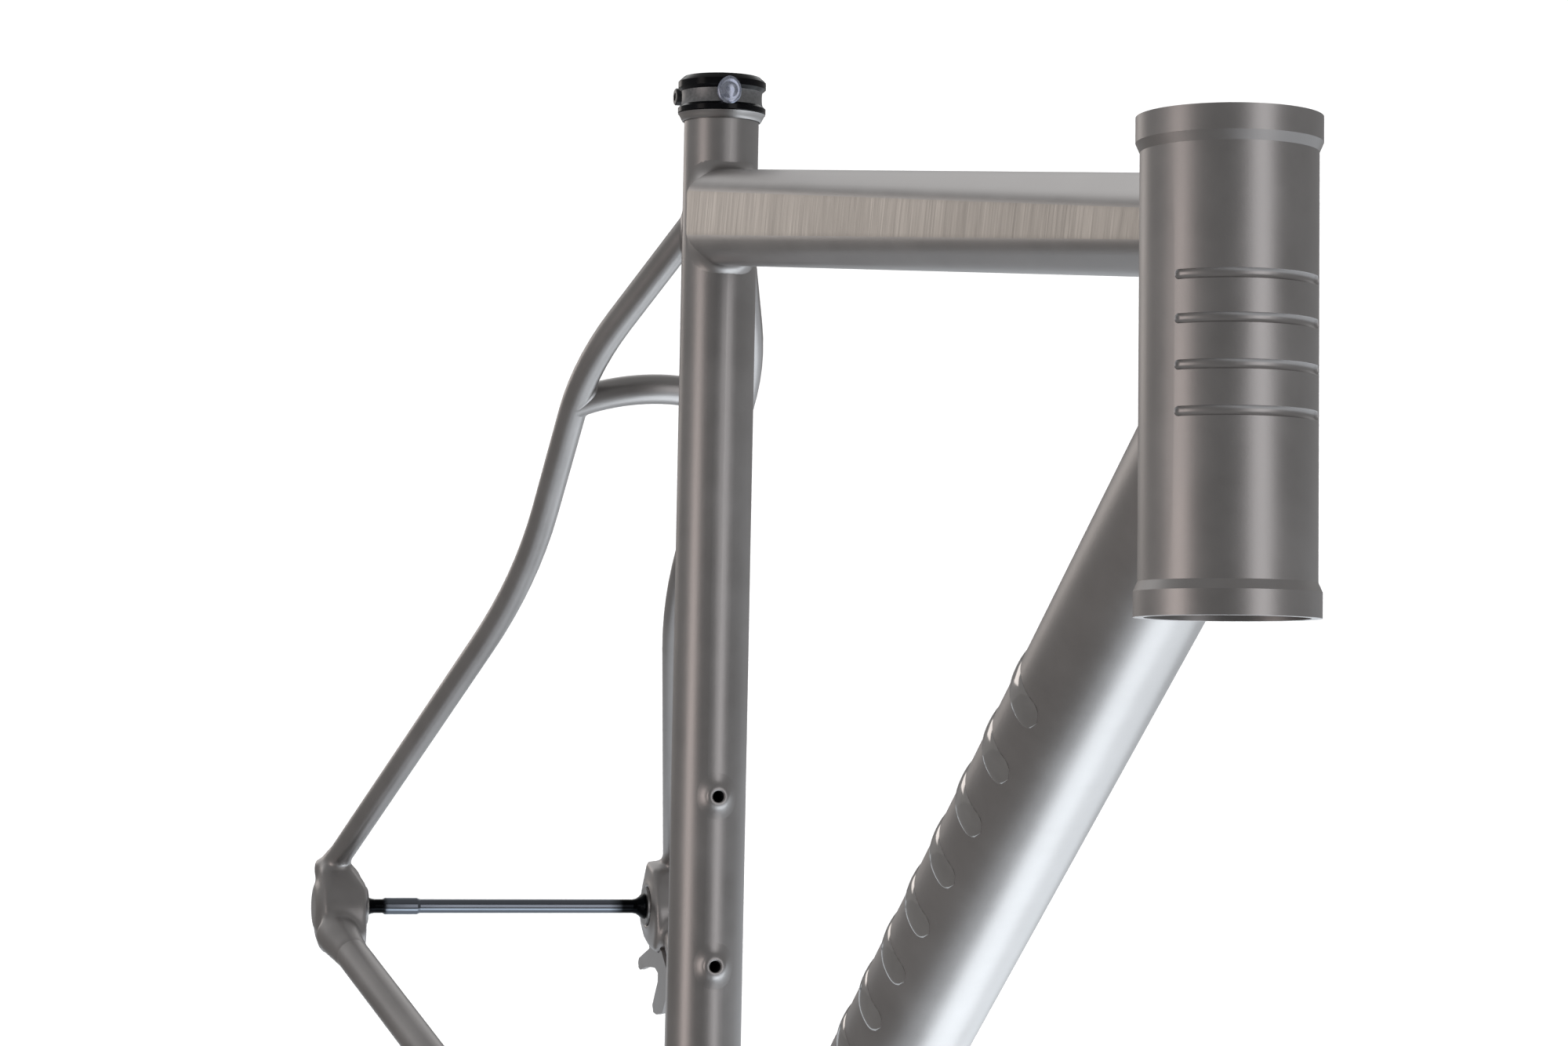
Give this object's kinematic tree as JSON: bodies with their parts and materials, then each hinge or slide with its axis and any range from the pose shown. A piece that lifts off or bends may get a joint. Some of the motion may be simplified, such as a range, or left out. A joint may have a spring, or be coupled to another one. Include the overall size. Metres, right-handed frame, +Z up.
{
  "type": "bicycle frame",
  "caption": "Bare titanium diamond frame with flat-sided top tube, bottle cage bosses, hooded dropouts, rear through axle and grooved seat collar.",
  "frame": {"origin": "centre of the bottom bracket shell, on its axis", "axes": "+X forward to the head tube, +Y to the rider's left along the bottom bracket axis, +Z up"},
  "size_m": [0.8748, 0.1956, 0.5965],
  "materials": {
    "titanium": "bead-blasted titanium, brushed on the top tube's flats",
    "black_fittings": "gloss black anodised aluminium",
    "black_steel": "black steel"
  },
  "bodies": {
    "frame": {"head_tube": "titanium", "top_tube": "titanium", "down_tube": "titanium", "seat_tube": "titanium", "bottom_bracket_shell": "titanium", "chainstay_right": "titanium", "chainstay_left": "titanium", "chainstay_bridge": "titanium", "seatstay_right": "titanium", "seatstay_left": "titanium", "seatstay_bridge": "titanium", "dropout_right": "titanium", "dropout_left": "titanium", "dropout_tab_left": "titanium", "axle_insert_right": "black_fittings", "axle_insert_left": "black_fittings", "seat_tube_boss_lower": "titanium", "seat_tube_boss_upper": "titanium", "down_tube_boss_lower": "titanium", "down_tube_boss_upper": "titanium"},
    "axle_washer": {"axle_washer": "black_fittings"},
    "axle": {"thru_axle": "black_fittings"},
    "collar": {"seat_collar": "black_fittings", "collar_nut": "black_steel"},
    "collar_bolt": {"collar_bolt": "black_steel"}
  },
  "joints": [
    {"name": "axle_draw", "type": "slide", "parent": "frame", "child": "axle_washer", "axis": [0, 1, 0], "range_m": [0, 0.18]},
    {"name": "axle_turn", "type": "hinge", "parent": "axle_washer", "child": "axle", "pos_m": [-0.42038, 0.097, 0.05683], "axis": [0, 1, 0], "continuous": true},
    {"name": "collar_lift", "type": "slide", "parent": "frame", "child": "collar", "axis": [-0.2874, 0, 0.9578], "range_m": [0, 0.03]},
    {"name": "collar_bolt_turn", "type": "hinge", "parent": "collar", "child": "collar_bolt", "pos_m": [-0.16661, 0, 0.48644], "axis": [0, 1, 0], "continuous": true}
  ]
}
